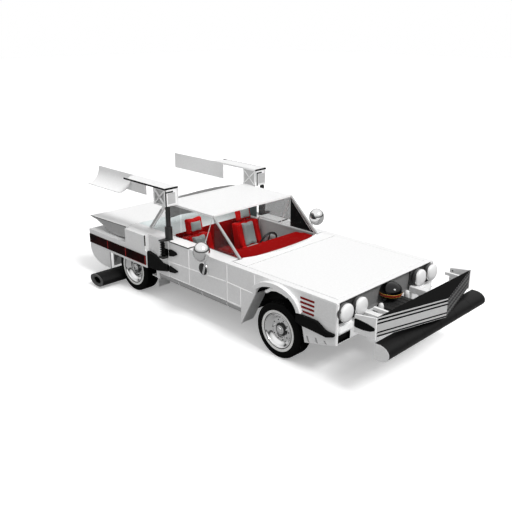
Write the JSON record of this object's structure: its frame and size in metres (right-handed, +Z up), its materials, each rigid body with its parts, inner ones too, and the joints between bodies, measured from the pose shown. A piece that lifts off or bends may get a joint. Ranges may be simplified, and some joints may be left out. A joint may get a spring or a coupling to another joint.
{
  "type": "coupe",
  "caption": "Coupe with a plough bumper, round paired lamps, roof-height wing arms, glass canopy and wheels that roll and steer.",
  "frame": {"origin": "on the ground in the middle of the footprint", "axes": "+X towards the nose, +Y towards the left side, +Z up"},
  "size_m": [5.32, 2.52, 1.555],
  "materials": {
    "white_paint": "satin white paint",
    "grey_paint": "satin dark grey paint",
    "black_metal": "semi-gloss black paint",
    "black_rubber": "moulded black rubber",
    "tyre_rubber": "tyre rubber with a white side band",
    "chrome": "bright chrome",
    "clear_glass": "clear tinted glass",
    "lamp_lens": "frosted white lamp glass",
    "red_lens": "dark red lens",
    "red_trim": "red trim with grey panels",
    "drive_steel": "bare steel"
  },
  "bodies": {
    "root": {"canopy_frame": "white_paint", "dashboard": "red_trim", "engine_bay": "black_metal", "engine_block": "grey_paint", "floor_pan": "black_metal", "front_bar": "black_rubber", "front_fascia": "white_paint", "front_fender_left": "white_paint", "front_fender_right": "white_paint", "front_subframe": "black_metal", "headlamps_left": "lamp_lens", "headlamps_right": "lamp_lens", "mast_left": "black_metal", "mast_right": "black_metal", "nose_dome": "black_metal", "nose_duct": "grey_paint", "plough_bumper": "grey_paint", "quarter_glass_left": "clear_glass", "quarter_glass_right": "clear_glass", "quarter_left": "white_paint", "quarter_right": "white_paint", "rear_axle": "drive_steel", "rear_deck": "white_paint", "rear_guard_left": "black_rubber", "rear_guard_right": "black_rubber", "rear_pipe": "black_metal", "rear_window": "clear_glass", "seat_left": "red_trim", "seat_right": "red_trim", "side_guard_left": "black_rubber", "side_guard_right": "black_rubber", "sill_left": "white_paint", "sill_right": "white_paint", "steering_wheel": "black_metal", "tail_deck": "white_paint", "tail_lamps_left": "red_lens", "tail_lamps_right": "red_lens", "windscreen": "clear_glass", "wing_left": "white_paint", "wing_right": "white_paint"},
    "door_right": {"door_right": "white_paint", "door_glass_right": "clear_glass", "mirror_right": "chrome"},
    "steer_right": {"knuckle_right": "drive_steel"},
    "wheel_front_right": {"tyre_front_right": "tyre_rubber", "rim_front_right": "chrome"},
    "wheel_rear_right": {"tyre_rear_right": "tyre_rubber", "rim_rear_right": "chrome"},
    "door_left": {"door_left": "white_paint", "door_glass_left": "clear_glass", "mirror_left": "chrome"},
    "steer_left": {"knuckle_left": "drive_steel"},
    "wheel_front_left": {"tyre_front_left": "tyre_rubber", "rim_front_left": "chrome"},
    "wheel_rear_left": {"tyre_rear_left": "tyre_rubber", "rim_rear_left": "chrome"},
    "hood": {"hood": "white_paint"},
    "decklid": {"decklid": "white_paint"}
  },
  "joints": [
    {"name": "steer_right", "type": "hinge", "parent": "root", "child": "steer_right", "pos_m": [1.185, -0.83, 0.32], "axis": [0, 0, 1], "range_deg": [-30, 30]},
    {"name": "spin_front_right", "type": "hinge", "parent": "steer_right", "child": "wheel_front_right", "pos_m": [1.185, -0.83, 0.32], "axis": [0, 1, 0], "continuous": true},
    {"name": "spin_rear_right", "type": "hinge", "parent": "root", "child": "wheel_rear_right", "pos_m": [-1.538, -0.83, 0.32], "axis": [0, 1, 0], "continuous": true},
    {"name": "door_right", "type": "hinge", "parent": "root", "child": "door_right", "pos_m": [0.317, -0.892, 0.875], "axis": [0, 0, 1], "range_deg": [0, 65]},
    {"name": "steer_left", "type": "hinge", "parent": "root", "child": "steer_left", "pos_m": [1.185, 0.83, 0.32], "axis": [0, 0, 1], "range_deg": [-30, 30]},
    {"name": "spin_front_left", "type": "hinge", "parent": "steer_left", "child": "wheel_front_left", "pos_m": [1.185, 0.83, 0.32], "axis": [0, 1, 0], "continuous": true},
    {"name": "spin_rear_left", "type": "hinge", "parent": "root", "child": "wheel_rear_left", "pos_m": [-1.538, 0.83, 0.32], "axis": [0, 1, 0], "continuous": true},
    {"name": "door_left", "type": "hinge", "parent": "root", "child": "door_left", "pos_m": [0.317, 0.892, 0.875], "axis": [0, 0, -1], "range_deg": [0, 65]},
    {"name": "hood", "type": "hinge", "parent": "root", "child": "hood", "pos_m": [0.56, 0, 0.875], "axis": [0, -1, 0], "range_deg": [0, 55]},
    {"name": "decklid", "type": "hinge", "parent": "root", "child": "decklid", "pos_m": [-1.716, 0, 0.858], "axis": [0, 1, 0], "range_deg": [0, 22]}
  ],
  "couplings": [
    {"joint": "steer_left", "follows": "steer_right", "ratio": 1}
  ]
}
